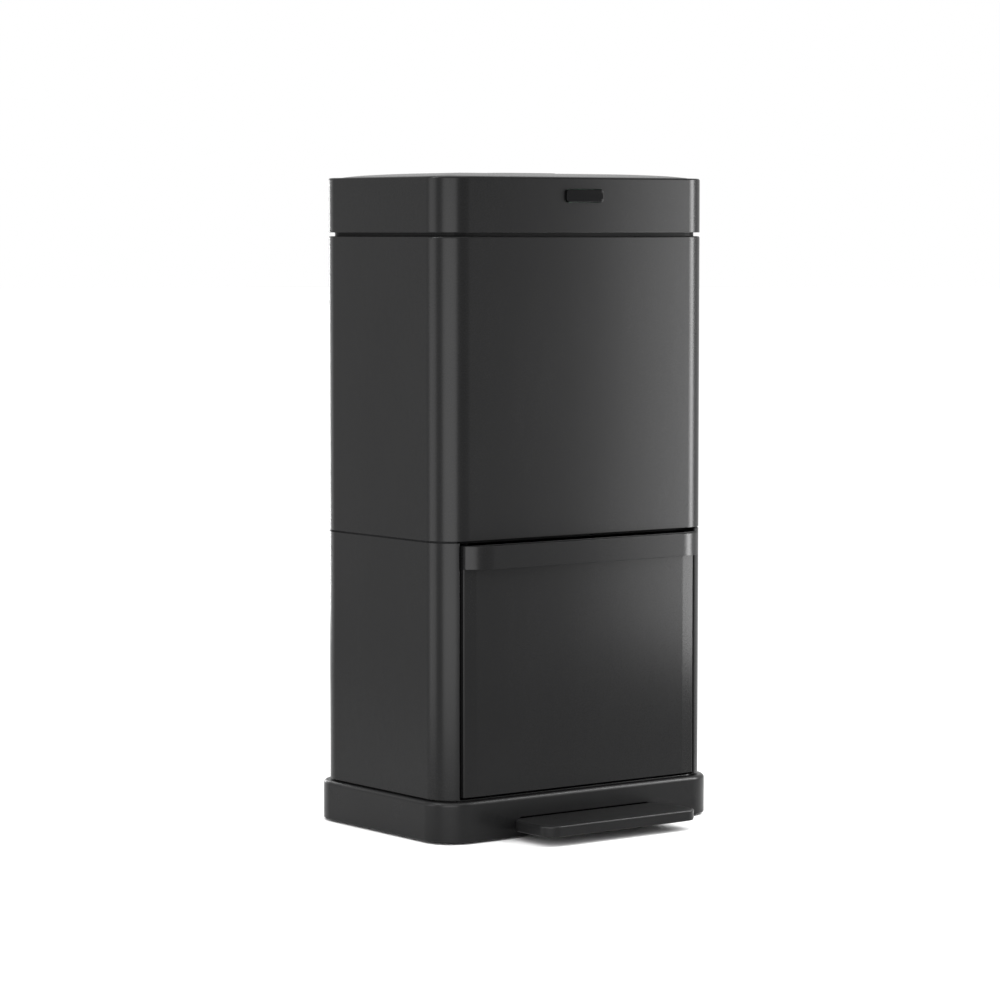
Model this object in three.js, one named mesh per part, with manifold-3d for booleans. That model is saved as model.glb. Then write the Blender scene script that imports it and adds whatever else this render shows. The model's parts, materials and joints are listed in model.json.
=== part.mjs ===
// Two-tier kitchen trash compactor: a rounded steel cabinet on a plastic base, with a pedal-operated lid that
// carries a telescopic hand press, an upper bucket under the press and a pull-out drawer with a second bucket.
// Millimetres, +Z up, front towards -Y. The cabinet is modelled about its own plan centre and then shifted
// back, so that the origin is under the middle of the whole outline, pedal included.
import * as THREE from 'three';
import { mergeVertices } from 'three/addons/utils/BufferGeometryUtils.js';
import Module from 'manifold-3d';

const wasm = await Module();
wasm.setup();

// ---------- driving dimensions ----------
const BODY_W = 400;
const BODY_D = 260.3;
const BODY_R = 36.4;
const BASE_W = 413;
const BASE_D = 274.4;
const BASE_R = 40;
const PEDAL_REACH = 215; // pedal tip, in front of the cabinet's centre
const FOOT_H = 2.5;
const STEEL = 0.8; // sheet of the outer shells
const GAP = 0.3; // between pieces that touch

const Z_BASE = FOOT_H;
const Z_BASE_TOP = FOOT_H + 46.8;
const Z_LAND = FOOT_H + 48.4; // raised land that carries the lower shell
const Z_LOWER = FOOT_H + 48.7;
const Z_LOWER_TOP = FOOT_H + 348;
const Z_UPPER = FOOT_H + 350;
const Z_UPPER_TOP = FOOT_H + 702;
const Z_COLLAR = FOOT_H + 706.4;
const Z_COLLAR_TOP = FOOT_H + 771.2;
const Z_LID_TOP = FOOT_H + 777;

const HINGE_Y = 118; // lid hinge axis
const HINGE_Z = Z_COLLAR_TOP - 4.2;
const KNUCKLE_R = 4.8;
const HINGE_PIN_R = 2;

const PIVOT_Y = -95; // pedal shaft
const PIVOT_Z = FOOT_H + 25;
const SHAFT_R = 3;
const ROD_Y = HINGE_Y - 13; // push rod, under the crank roller
const ROLLER_R = 3;
const ROLLER_Z = HINGE_Z - 6.5;
const LEVER_END_Z = PIVOT_Z - 8.7;
const LEVER_END_R = 4;

const PRESS_Y = -2; // centre of the press column
const PRESS_TOP = 683.5; // underside of the press guide
const GRIP_BAR_R = 3.5;

const LID_HALF = 188;
const LID_FRONT = -116.2;
const LID_REAR = 112;
const LID_R = 24.5;
const MOUTH_HALF = 189.5;
const MOUTH_FRONT = -117.7;
const MOUTH_REAR = 123;
const MOUTH_R = 26;

const BUTTON_X = 3;
const BUTTON_Z = Z_COLLAR + 43.1;

const RUNNER_X = 120;
const FRONT_OPENING = 175.9; // half width of the drawer opening in the lower shell
const PANEL_HALF = 172.9;
const PANEL_Y = -131;
const PANEL_TOP = FOOT_H + 345;
const HANDLE_H = 27;

const CORNER_STEPS = 6; // segments in a quarter turn of a rounded outline

// ---------- materials ----------
const paint = (color, roughness, metalness) => new THREE.MeshStandardMaterial({ color, roughness, metalness });
const coatedSteel = paint(0x2a2a2b, 0.42, 0.6);
const satinPlastic = paint(0x1c1c1d, 0.5, 0);
const liningPlastic = paint(0x2b2c2e, 0.65, 0);
const bucketPlastic = paint(0x4a4c4f, 0.6, 0);
const glossBlack = paint(0x070708, 0.12, 0);
const bareSteel = paint(0xa9abad, 0.35, 1);
const springSteel = paint(0x8d8f92, 0.3, 1);
const rubber = paint(0x151516, 0.85, 0);
const carbonFelt = paint(0x1f2020, 0.95, 0);
const boardGreen = paint(0x1d4a2c, 0.5, 0);

// ---------- solids ----------
function toSolid(geometry) {
  geometry.deleteAttribute('normal');
  geometry.deleteAttribute('uv');
  const merged = mergeVertices(geometry, 1e-4);
  return new wasm.Manifold(new wasm.Mesh({
    numProp: 3,
    vertProperties: new Float32Array(merged.attributes.position.array),
    triVerts: new Uint32Array(merged.index.array),
  }));
}

function toGeometry(solid) {
  const mesh = solid.getMesh();
  const geometry = new THREE.BufferGeometry();
  geometry.setAttribute('position', new THREE.BufferAttribute(new Float32Array(mesh.vertProperties), 3));
  geometry.setIndex(new THREE.BufferAttribute(new Uint32Array(mesh.triVerts), 1));
  geometry.computeVertexNormals();
  return geometry;
}

const join = (...solids) => solids.reduce((whole, next) => whole.add(next));
const cut = (solid, ...tools) => tools.reduce((rest, tool) => rest.subtract(tool), solid);

function box(x0, x1, y0, y1, z0, z1) {
  const geometry = new THREE.BoxGeometry(x1 - x0, y1 - y0, z1 - z0);
  geometry.translate((x0 + x1) / 2, (y0 + y1) / 2, (z0 + z1) / 2);
  return toSolid(geometry);
}

// A box that is the same to the left and the right of the centre.
const middleBox = (half, y0, y1, z0, z1) => box(-half, half, y0, y1, z0, z1);

function rod(radius, length, axis, x, y, z, sides = 20) {
  const geometry = new THREE.CylinderGeometry(radius, radius, length, sides);
  if (axis === 'x') geometry.rotateZ(Math.PI / 2);
  if (axis === 'z') geometry.rotateX(Math.PI / 2);
  geometry.translate(x, y, z);
  return toSolid(geometry);
}

function extrude(shape, z0, z1) {
  const options = { depth: z1 - z0, bevelEnabled: false, curveSegments: CORNER_STEPS / 2 };
  return toSolid(new THREE.ExtrudeGeometry(shape, options).translate(0, 0, z0));
}

// A shape drawn in (y, z), given its thickness along X from x0 to x1.
function extrudeAlongX(points, x0, x1) {
  const shape = new THREE.Shape(points.map(([y, z]) => new THREE.Vector2(y, z)));
  const geometry = new THREE.ExtrudeGeometry(shape, { depth: x1 - x0, bevelEnabled: false });
  const turn = new THREE.Matrix4().makeBasis(
    new THREE.Vector3(0, 1, 0), new THREE.Vector3(0, 0, 1), new THREE.Vector3(1, 0, 0),
  );
  return toSolid(geometry.applyMatrix4(turn).translate(x0, 0, 0));
}

// A rectangle with round corners: half width, front, rear and corner radius, all drawn in by an inset.
function outline(half, front, rear, radius, inset = 0) {
  const w = half - inset;
  const y0 = front + inset;
  const y1 = rear - inset;
  const r = Math.max(radius - inset, 0.5);
  const shape = new THREE.Shape();
  shape.absarc(w - r, y0 + r, r, -Math.PI / 2, 0);
  shape.absarc(w - r, y1 - r, r, 0, Math.PI / 2);
  shape.absarc(-w + r, y1 - r, r, Math.PI / 2, Math.PI);
  shape.absarc(-w + r, y0 + r, r, Math.PI, Math.PI * 1.5);
  shape.closePath();
  return shape;
}

const bodyOutline = (inset) => outline(BODY_W / 2, -BODY_D / 2, BODY_D / 2, BODY_R, inset);
const baseOutline = (inset) => outline(BASE_W / 2, -BASE_D / 2, BASE_D / 2, BASE_R, inset);
const lidOutline = (inset) => outline(LID_HALF, LID_FRONT, LID_REAR, LID_R, inset);
const mouthOutline = (grow) => outline(MOUTH_HALF, MOUTH_FRONT, MOUTH_REAR, MOUTH_R, -grow);
const stadium = (length, width) => outline(length / 2, PRESS_Y - width / 2, PRESS_Y + width / 2, width / 2);

// The band between two outlines.
const band = (outer, inner, z0, z1) => cut(extrude(outer, z0, z1), extrude(inner, z0 - 1, z1 + 1));

// A solid through a stack of [outline, z] levels whose outlines have equal point counts.
function loft(levels) {
  const rings = levels.map(([shape, z]) => shape.getPoints(CORNER_STEPS / 2).slice(0, -1).map((p) => [p.x, p.y, z]));
  const count = rings[0].length;
  const positions = rings.flat(2);
  const index = [];
  for (let level = 0; level < rings.length - 1; level += 1) {
    for (let i = 0; i < count; i += 1) {
      const a = level * count + i;
      const b = level * count + ((i + 1) % count);
      index.push(a, b, b + count, a, b + count, a + count);
    }
  }
  const last = (rings.length - 1) * count;
  for (let i = 1; i < count - 1; i += 1) {
    index.push(0, i + 1, i);
    index.push(last, last + i, last + i + 1);
  }
  const geometry = new THREE.BufferGeometry();
  geometry.setAttribute('position', new THREE.Float32BufferAttribute(positions, 3));
  geometry.setIndex(index);
  return toSolid(geometry);
}

class Helix extends THREE.Curve {
  constructor(radius, height, turns) {
    super();
    this.radius = radius;
    this.height = height;
    this.turns = turns;
  }

  getPoint(t, target = new THREE.Vector3()) {
    const angle = t * this.turns * Math.PI * 2;
    return target.set(this.radius * Math.cos(angle), this.radius * Math.sin(angle), t * this.height);
  }
}

// A coil spring that stands on z = 0.
function coilSpring(radius, height, turns, wire) {
  const section = new THREE.Shape().absarc(0, 0, wire / 2, 0, Math.PI * 2);
  const path = new Helix(radius, height - wire, turns);
  const options = { steps: turns * 7, curveSegments: 3, extrudePath: path };
  const geometry = new THREE.ExtrudeGeometry(section, options);
  return toSolid(geometry.translate(0, 0, wire / 2));
}

// ---------- scene graph ----------
const object = new THREE.Group();
const cabinet = new THREE.Group();
cabinet.position.y = (PEDAL_REACH - BASE_D / 2) / 2;
object.add(cabinet);

function group(parent) {
  const child = new THREE.Group();
  parent.add(child);
  return child;
}

function piece(parent, name, solid, material, x = 0, y = 0, z = 0) {
  const mesh = new THREE.Mesh(toGeometry(solid), material);
  mesh.name = name;
  mesh.position.set(x, y, z);
  parent.add(mesh);
  return mesh;
}

const sides = [['left', -1], ['right', 1]];

// ---------- base ----------
const base = group(cabinet);
const BASE_WALL = 3;
const SLOT_HALF = 98;
const SLOT_BOTTOM = 12.2;
const SLOT_TOP = 25;

function basePlinth() {
  const round = 5;
  const levels = [[baseOutline(1), Z_BASE], [baseOutline(0), Z_BASE + 1]];
  for (let i = 0; i <= 4; i += 1) {
    const angle = (i / 4) * (Math.PI / 2);
    levels.push([baseOutline(round * (1 - Math.cos(angle))), Z_BASE_TOP - round * (1 - Math.sin(angle))]);
  }
  const deckTop = Z_BASE_TOP - BASE_WALL;
  const walls = cut(loft(levels), extrude(baseOutline(BASE_WALL), Z_BASE - 1, deckTop));
  const land = cut(extrude(bodyOutline(3), deckTop + 1, Z_LAND), extrude(bodyOutline(12), Z_BASE, Z_LAND - 2.5));
  const upstand = cut(
    band(bodyOutline(STEEL + GAP), bodyOutline(STEEL + GAP + 2), Z_LAND - 1, Z_LAND + 9),
    middleBox(FRONT_OPENING + 3, -BODY_D / 2 - 1, -90, Z_LAND, Z_LAND + 10),
  );
  return cut(
    join(walls, land, upstand),
    middleBox(SLOT_HALF, -BASE_D / 2 - 1, -BASE_D / 2 + BASE_WALL + 1, SLOT_BOTTOM, SLOT_TOP),
    middleBox(7.5, ROD_Y - 3.5, ROD_Y + 3.5, Z_BASE, Z_LAND + 1),
  );
}

const FLOOR_TOP = Z_BASE + 2.5;
piece(base, 'base_plinth', basePlinth(), satinPlastic);
piece(base, 'base_floor', extrude(baseOutline(BASE_WALL + 0.4), Z_BASE, FLOOR_TOP), liningPlastic);

const FOOT_R = 14;
for (const [side, sx] of sides) {
  for (const [end, sy] of [['front', -1], ['rear', 1]]) {
    const pad = rod(FOOT_R, FOOT_H - GAP, 'z', 0, 0, 0, 28);
    piece(base, `foot_${end}_${side}`, pad, rubber, sx * 165, sy * 98, (FOOT_H - GAP) / 2);
  }
}

const BRACKET_X = 53;
function shaftBracket(sx) {
  const x0 = Math.min(sx * (BRACKET_X - 1.5), sx * (BRACKET_X + 1.5));
  const foot = sx > 0 ? [x0, x0 + 16] : [x0 - 13, x0 + 3];
  const upright = box(x0, x0 + 3, PIVOT_Y - 12, PIVOT_Y + 12, FLOOR_TOP + GAP, PIVOT_Z + 8);
  const flange = box(...foot, PIVOT_Y - 12, PIVOT_Y + 12, FLOOR_TOP + GAP, FLOOR_TOP + GAP + 2);
  return cut(join(upright, flange), rod(SHAFT_R + GAP, 20, 'x', sx * BRACKET_X, PIVOT_Y, PIVOT_Z));
}
for (const [side, sx] of sides) {
  piece(base, `shaft_bracket_${side}`, shaftBracket(sx), bareSteel);
}
const SHAFT_LENGTH = 2 * (BRACKET_X + 4);
piece(base, 'pedal_shaft', rod(SHAFT_R, SHAFT_LENGTH, 'x', 0, 0, 0), bareSteel, 0, PIVOT_Y, PIVOT_Z);

// ---------- pedal: cover over a steel lever, and the rod that it lifts ----------
const pedal = group(cabinet);
const PEDAL_TOP = Z_BASE + 22;
const PEDAL_THICK = 12.8;
const PEDAL_CORNER = 18;
const PEDAL_HALF = 113.5;
const PEDAL_REAR = -BASE_D / 2 - 2; // clear of the base as the pedal tips
const TONGUE_Z = PEDAL_TOP - 7.9;
const TONGUE_HALF = 88;

function pedalCover() {
  const z0 = PEDAL_TOP - PEDAL_THICK;
  const plan = (inset) => outline(PEDAL_HALF, -PEDAL_REACH, PEDAL_REAR, PEDAL_CORNER, inset);
  const slab = join(
    extrude(plan(1.2), z0, PEDAL_TOP),
    extrude(plan(0), z0 + 1.5, PEDAL_TOP - 1.2),
  );
  const pocket = middleBox(TONGUE_HALF + 0.4, -207.4, PEDAL_REAR + 1, TONGUE_Z - 0.4, TONGUE_Z + 2.4);
  return cut(slab, pocket);
}

function pedalLever() {
  const tongue = middleBox(TONGUE_HALF, -207, -112, TONGUE_Z, TONGUE_Z + 2);
  const webOutline = [
    [-122, TONGUE_Z], [-104, TONGUE_Z], [-88, 20], [-80, 22], [-80, PIVOT_Z], [-88, PIVOT_Z + 7],
    [-102, PIVOT_Z + 7], [-112, TONGUE_Z + 6], [-122, TONGUE_Z + 2],
  ];
  const webs = [-47.5, 44.5].map((x0) => extrudeAlongX(webOutline, x0, x0 + 3));
  const cross = middleBox(47.5, -84, -72, 22, 25);
  const tailOutline = [
    [-76, 22], [ROD_Y, LEVER_END_Z - 2.5], [ROD_Y, LEVER_END_Z + 2.5], [-76, PIVOT_Z - 0.5],
  ];
  const tail = extrudeAlongX(tailOutline, -8, 8);
  const nose = rod(LEVER_END_R, 16, 'x', 0, ROD_Y, LEVER_END_Z);
  return cut(join(tongue, ...webs, cross, tail, nose), rod(SHAFT_R + GAP, 120, 'x', 0, PIVOT_Y, PIVOT_Z));
}

function pushRod() {
  const foot = LEVER_END_Z + LEVER_END_R + GAP;
  const head = ROLLER_Z - ROLLER_R - GAP;
  return join(
    middleBox(6, ROD_Y - 1.5, ROD_Y + 1.5, foot, head),
    middleBox(8, ROD_Y - 5, ROD_Y + 5, foot, foot + 3),
    middleBox(7, ROD_Y - 5, ROD_Y + 5, head - 3, head),
  );
}

piece(pedal, 'pedal_cover', pedalCover(), satinPlastic);
piece(pedal, 'pedal_lever', pedalLever(), bareSteel);
piece(pedal, 'push_rod', pushRod(), bareSteel);
const PEDAL_SPRING_H = TONGUE_Z - FLOOR_TOP - 2 * GAP;
piece(pedal, 'pedal_spring', coilSpring(5, PEDAL_SPRING_H, 4, 1.2), springSteel, 0, -117, FLOOR_TOP + GAP);

// ---------- lower tier ----------
const lowerTier = group(cabinet);

function lowerShell() {
  const front = -BODY_D / 2;
  const wrap = cut(
    band(bodyOutline(0), bodyOutline(STEEL), Z_LOWER, Z_LOWER_TOP),
    middleBox(FRONT_OPENING, front - 1, -60, Z_LOWER - 1, Z_LOWER_TOP + 1),
  );
  const posts = sides.map(([, sx]) => {
    const x = sx * (FRONT_OPENING + STEEL / 2);
    return box(x - STEEL / 2, x + STEEL / 2, front + 0.2, front + 18, Z_LOWER, Z_LOWER_TOP);
  });
  return join(wrap, ...posts);
}
piece(lowerTier, 'lower_shell', lowerShell(), coatedSteel);

const DECK_Z = Z_UPPER + 2;
function midDeck() {
  const skirt = cut(
    band(bodyOutline(STEEL + GAP), bodyOutline(STEEL + GAP + 2.5), Z_UPPER - 19, DECK_Z + 18),
    middleBox(FRONT_OPENING + 3, -BODY_D / 2 - 1, -100, Z_UPPER - 20, DECK_Z - 0.3),
  );
  const plate = extrude(bodyOutline(STEEL + GAP), DECK_Z - 0.3, DECK_Z + 2.7);
  const frontRail = middleBox(FRONT_OPENING - 0.5, -114, -111, PANEL_TOP + 1.2, DECK_Z);
  return cut(join(skirt, plate, frontRail), middleBox(8, ROD_Y - 3.5, ROD_Y + 3.5, 300, 400));
}
piece(lowerTier, 'mid_deck', midDeck(), liningPlastic);

// ---------- drawer ----------
const drawer = group(cabinet);

// Channels of the drawer runners: outer and middle open upwards, inner is upside down.
const RUNNER_REAR = 92;
const RUNNER_LENGTH = 200;
const CHANNEL = 1.2;
const RUNNER_Z = Z_LAND + GAP;
function channel(halfWidth, z0, z1, opensUp) {
  const hollow = opensUp ? [z0 + CHANNEL, z1 + 1] : [z0 - 1, z1 - CHANNEL];
  const full = box(-halfWidth, halfWidth, -RUNNER_LENGTH / 2, RUNNER_LENGTH / 2, z0, z1);
  const inside = halfWidth - CHANNEL;
  return cut(full, box(-inside, inside, -RUNNER_LENGTH, RUNNER_LENGTH, ...hollow));
}
const runnerY = RUNNER_REAR - RUNNER_LENGTH / 2;
for (const [side, sx] of sides) {
  const x = sx * RUNNER_X;
  piece(drawer, `runner_outer_${side}`, channel(11, 0, 12, true), bareSteel, x, runnerY, RUNNER_Z);
  piece(drawer, `runner_middle_${side}`, channel(9.3, 1.7, 12.5, true), bareSteel, x, runnerY, RUNNER_Z);
  piece(drawer, `runner_inner_${side}`, channel(7.6, 3.4, 14.8, false), bareSteel, x, runnerY - 4, RUNNER_Z);
}

const TRAY_Z = RUNNER_Z + 15.1;
const TRAY_HALF = 162;
const TRAY_FRONT = -129.4;
const TRAY_REAR = 96;
function drawerTray() {
  const hull = outline(TRAY_HALF, TRAY_FRONT, TRAY_REAR, 6);
  const inside = outline(TRAY_HALF, TRAY_FRONT, TRAY_REAR, 6, 2);
  const tub = cut(extrude(hull, TRAY_Z, TRAY_Z + 42), extrude(inside, TRAY_Z + 2, TRAY_Z + 50));
  const frontWall = middleBox(TRAY_HALF - 2, TRAY_FRONT, TRAY_FRONT + 2, TRAY_Z, PANEL_TOP - 12);
  return join(tub, frontWall);
}
piece(drawer, 'drawer_tray', drawerTray(), liningPlastic);

// An open bucket with a drafted wall and a flat rim.
function bucket(half, front, rear, z0, z1, draft, rim, wall = 2) {
  const r = 26;
  const top = (inset) => outline(half, front, rear, r, inset);
  const shell = cut(
    loft([[top(draft), z0], [top(0), z1]]),
    loft([[top(draft + wall), z0 + wall], [top(wall), z1 + 0.001]]),
  );
  const lip = band(top(-rim), top(wall), z1 - 3, z1);
  return join(shell, cut(lip, loft([[top(draft + wall), z0 + wall], [top(wall), z1 + 0.001]])));
}

piece(drawer, 'drawer_bucket', bucket(152, -120, 88, TRAY_Z + 2.3, 324, 8, 4), bucketPlastic);

const CREASE_X = 155.4;
const PANEL_FOLD = 1.4; // how far the outer strips lie back at their edge
function drawerPanel() {
  const sheet = 1;
  const depth = 15;
  const half = PANEL_HALF;
  const outer = [
    [-half, PANEL_Y + depth], [-half, PANEL_Y + PANEL_FOLD], [-CREASE_X, PANEL_Y], [CREASE_X, PANEL_Y],
    [half, PANEL_Y + PANEL_FOLD], [half, PANEL_Y + depth],
  ];
  const inner = [
    [half - sheet, PANEL_Y + depth], [half - sheet, PANEL_Y + PANEL_FOLD + sheet],
    [CREASE_X, PANEL_Y + sheet], [-CREASE_X, PANEL_Y + sheet],
    [-half + sheet, PANEL_Y + PANEL_FOLD + sheet], [-half + sheet, PANEL_Y + depth],
  ];
  const shape = new THREE.Shape([...outer, ...inner].map(([x, y]) => new THREE.Vector2(x, y)));
  return extrude(shape, Z_LOWER + 2.5, PANEL_TOP);
}
piece(drawer, 'drawer_panel', drawerPanel(), coatedSteel);

const HANDLE_HALF = 175;
const HANDLE_Y = -149;
const HANDLE_TURN = THREE.MathUtils.degToRad(42);
const HANDLE_BEND = 50.6;
function handlePlan(inset, rear) {
  const r = HANDLE_BEND - inset;
  const flat = HANDLE_HALF - HANDLE_BEND * Math.sin(HANDLE_TURN);
  const cy = HANDLE_Y + HANDLE_BEND;
  const end = HANDLE_HALF - inset;
  const turn = Math.asin((end - flat) / r);
  const shape = new THREE.Shape();
  shape.moveTo(end, rear);
  shape.lineTo(-end, rear);
  shape.absarc(-flat, cy, r, -Math.PI / 2 - turn, -Math.PI / 2);
  shape.absarc(flat, cy, r, -Math.PI / 2, -Math.PI / 2 + turn);
  shape.closePath();
  return shape;
}
function drawerHandle() {
  const rear = PANEL_Y - GAP;
  const z0 = PANEL_TOP - HANDLE_H;
  return cut(
    extrude(handlePlan(0, rear), z0, PANEL_TOP),
    extrude(handlePlan(2.5, rear + 1), z0 + 2.5, PANEL_TOP + 1),
  );
}
piece(drawer, 'drawer_handle', drawerHandle(), coatedSteel);

// ---------- upper tier ----------
const upperTier = group(cabinet);
const NECK_INSET = 7.5;

function upperShell() {
  const wall = band(bodyOutline(0), bodyOutline(STEEL), Z_UPPER, Z_UPPER_TOP);
  return join(wall, band(bodyOutline(0), bodyOutline(NECK_INSET - GAP), Z_UPPER_TOP - STEEL, Z_UPPER_TOP));
}
piece(upperTier, 'upper_shell', upperShell(), coatedSteel);

function rodGuide() {
  return cut(
    middleBox(11, ROD_Y - 3.4, BODY_D / 2 - STEEL - GAP, 380, 680),
    middleBox(7, ROD_Y - 2.1, ROD_Y + 2.1, 379, 681),
    middleBox(9, ROD_Y + 4, BODY_D / 2 - 3.5, 379, 681),
  );
}
piece(upperTier, 'rod_guide', rodGuide(), liningPlastic);

const RIM_TOP = 692.3;
const BUCKET_HALF = 178.5;
const BUCKET_FRONT = -106.5;
const BUCKET_REAR = 96;
const rodNotch = (z0, z1) => middleBox(13, ROD_Y - 6, ROD_Y + 30, z0, z1);
function upperBucket() {
  const tub = bucket(BUCKET_HALF, BUCKET_FRONT, BUCKET_REAR, 362, RIM_TOP, 10, 5);
  return cut(tub, rodNotch(RIM_TOP - 8, RIM_TOP + 1));
}
piece(upperTier, 'upper_bucket', upperBucket(), bucketPlastic);

function bagRing() {
  const plan = (inset) => outline(BUCKET_HALF, BUCKET_FRONT, BUCKET_REAR, 26, inset);
  return cut(band(plan(-4.7), plan(5), RIM_TOP + GAP, RIM_TOP + GAP + 4), rodNotch(RIM_TOP, RIM_TOP + 8));
}
piece(upperTier, 'bag_ring', bagRing(), satinPlastic);

// ---------- collar ----------
const collar = group(cabinet);
const windowPlan = (grow) => [27 + grow, 7.25 + grow, 3 + grow / 2];

// A rounded block that stands on the front, between two distances along Y.
function frontBlock(halfWidth, halfHeight, radius, y0, y1, x = BUTTON_X, z = BUTTON_Z) {
  const shape = outline(halfWidth, -halfHeight, halfHeight, radius);
  const geometry = new THREE.ExtrudeGeometry(shape, {
    depth: y1 - y0, bevelEnabled: false, curveSegments: 3,
  });
  return toSolid(geometry.rotateX(Math.PI / 2).translate(x, y1, z));
}

function collarSkin() {
  const wall = band(bodyOutline(0), bodyOutline(STEEL), Z_COLLAR, Z_COLLAR_TOP);
  const flange = band(bodyOutline(0), bodyOutline(5), Z_COLLAR_TOP - STEEL, Z_COLLAR_TOP);
  return cut(join(wall, flange), frontBlock(...windowPlan(0.8), -BODY_D / 2 - 1, -BODY_D / 2 + 3));
}
piece(collar, 'collar_skin', collarSkin(), coatedSteel);

const HINGES = [-120, 120];
const DAMPER_X = 156;
const DAMPER_HALF = 9;
function collarFrame() {
  const bottom = Z_COLLAR + GAP;
  const underFlange = Z_COLLAR_TOP - STEEL - GAP;
  const mouth = mouthOutline(0);
  const rim = join(
    band(bodyOutline(STEEL + GAP), mouth, bottom, underFlange),
    band(bodyOutline(5 + GAP), mouth, underFlange - 1, Z_COLLAR_TOP - 0.1),
  );
  const hollowRim = cut(rim, band(bodyOutline(STEEL + GAP + 2), mouthOutline(2), bottom - 2, underFlange - 2));
  const neckInside = outline(MOUTH_HALF, MOUTH_FRONT, MOUTH_REAR - 3.4, MOUTH_R);
  const neck = band(bodyOutline(NECK_INSET), neckInside, 686, bottom + 2);
  const foot = band(bodyOutline(5.2), neckInside, bottom, bottom + 2);
  const ledgeInside = outline(BUCKET_HALF, BUCKET_FRONT, BUCKET_REAR, 26, -2.3);
  const ledge = cut(band(bodyOutline(NECK_INSET), ledgeInside, 686, 689), rodNotch(680, 690));
  const stopInside = outline(MOUTH_HALF - 5, MOUTH_FRONT + 5, HINGE_Y - 12, MOUTH_R - 5);
  const stop = cut(band(mouthOutline(1), stopInside, 752, 757.2), middleBox(10, 90, 112, 750, 760));
  const lugs = HINGES.flatMap((x) => [x - 14, x + 14]).map((x) => join(
    box(x - 5, x + 5, HINGE_Y - KNUCKLE_R, MOUTH_REAR + 2, HINGE_Z - 12, HINGE_Z),
    rod(KNUCKLE_R, 10, 'x', x, HINGE_Y, HINGE_Z),
  ));
  const saddle = box(DAMPER_X - DAMPER_HALF, DAMPER_X + DAMPER_HALF, HINGE_Y - KNUCKLE_R, MOUTH_REAR + 2, 752, 764.4);
  const whole = join(hollowRim, neck, foot, ledge, stop, ...lugs, saddle);
  const pins = HINGES.map((x) => rod(HINGE_PIN_R + GAP, 60, 'x', x, HINGE_Y, HINGE_Z));
  const windowHole = frontBlock(31, 10.5, 3, -BODY_D / 2 - 1, MOUTH_FRONT - 3);
  return cut(whole, ...pins, windowHole);
}
piece(collar, 'collar_frame', collarFrame(), satinPlastic);

for (const [index, [side]] of sides.entries()) {
  const pin = rod(HINGE_PIN_R, 37, 'x', 0, 0, 0);
  piece(collar, `hinge_pin_${side}`, pin, bareSteel, HINGES[index], HINGE_Y, HINGE_Z);
}

const DAMPER_BORE = 1.9;
function damperHousing() {
  const bore = rod(DAMPER_BORE, 16, 'x', DAMPER_X - DAMPER_HALF, HINGE_Y, HINGE_Z);
  return cut(rod(KNUCKLE_R, 2 * DAMPER_HALF, 'x', DAMPER_X, HINGE_Y, HINGE_Z), bore);
}
piece(collar, 'damper_housing', damperHousing(), satinPlastic);

// Button cap with a retaining flange and a plunger, facing a switch on the board behind it.
function statusButton() {
  const face = -BODY_D / 2 - 3.2;
  const flangeY = -BODY_D / 2 + STEEL + GAP;
  return join(
    frontBlock(...windowPlan(0), face, flangeY + 1.4),
    frontBlock(29.3, 9.5, 3, flangeY, flangeY + 1.4),
    box(BUTTON_X - 4, BUTTON_X + 4, flangeY + 1, -125.1, BUTTON_Z - 3, BUTTON_Z + 3),
  );
}
piece(collar, 'status_button', statusButton(), glossBlack);

const BOARD_Y = -122;
function indicatorBoard() {
  const board = box(-40, 85, BOARD_Y, BOARD_Y + 1.6, BUTTON_Z - 17, BUTTON_Z + 14);
  const tactSwitch = box(BUTTON_X - 6, BUTTON_X + 6, BOARD_Y - 1.6, BOARD_Y + 0.5, BUTTON_Z - 5, BUTTON_Z + 5);
  return join(board, tactSwitch);
}
const CELL_X = 60;
function cellClip() {
  const legs = [CELL_X - 12, CELL_X + 11.2].map((x) => box(x, x + 0.8, -126.6, BOARD_Y - GAP, BUTTON_Z - 4, BUTTON_Z + 2));
  return join(box(CELL_X - 12, CELL_X + 12, -126.7, -126.1, BUTTON_Z - 4, BUTTON_Z + 2), ...legs);
}
piece(collar, 'indicator_board', indicatorBoard(), boardGreen);
piece(collar, 'coin_cell', rod(10, 3.2, 'y', 0, 0, 0, 28), bareSteel, CELL_X, BOARD_Y - 2.1, BUTTON_Z - 1);
piece(collar, 'cell_clip', cellClip(), springSteel);

// ---------- lid ----------
const lid = group(cabinet);
const SKIRT_Z = 767.5;
const ROOF_Z = Z_COLLAR_TOP - 1.1;
const DOME_RISE = Z_LID_TOP - ROOF_Z;
const DOME_REACH = 82; // inset at which the dome is level

// Heights of the dome against the distance in from its edge: a tight roll, then a slow swell.
function domeHeight(inset) {
  const t = Math.min(inset / DOME_REACH, 1);
  const roll = 1.6 * Math.sqrt(Math.min(inset / 2.5, 1) * (2 - Math.min(inset / 2.5, 1)));
  return ROOF_Z + roll + (DOME_RISE - 1.6) * (1 - (1 - t) ** 2.6);
}
const DOME_INSETS = [0, 0.6, 2.5, 10, 22, 38, 58, 82];
function domeBlock(inset, drop, bottom) {
  const levels = [[lidOutline(inset), bottom]];
  for (const step of DOME_INSETS) {
    levels.push([lidOutline(inset + step), domeHeight(step) - drop]);
  }
  return loft(levels);
}
function lidSkin() {
  const shell = cut(domeBlock(0, 0, SKIRT_Z), domeBlock(STEEL, STEEL, SKIRT_Z - 1));
  return cut(shell, extrude(stadium(107.6, 51.6), 760, 790));
}
piece(lid, 'lid_skin', lidSkin(), coatedSteel);

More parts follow.
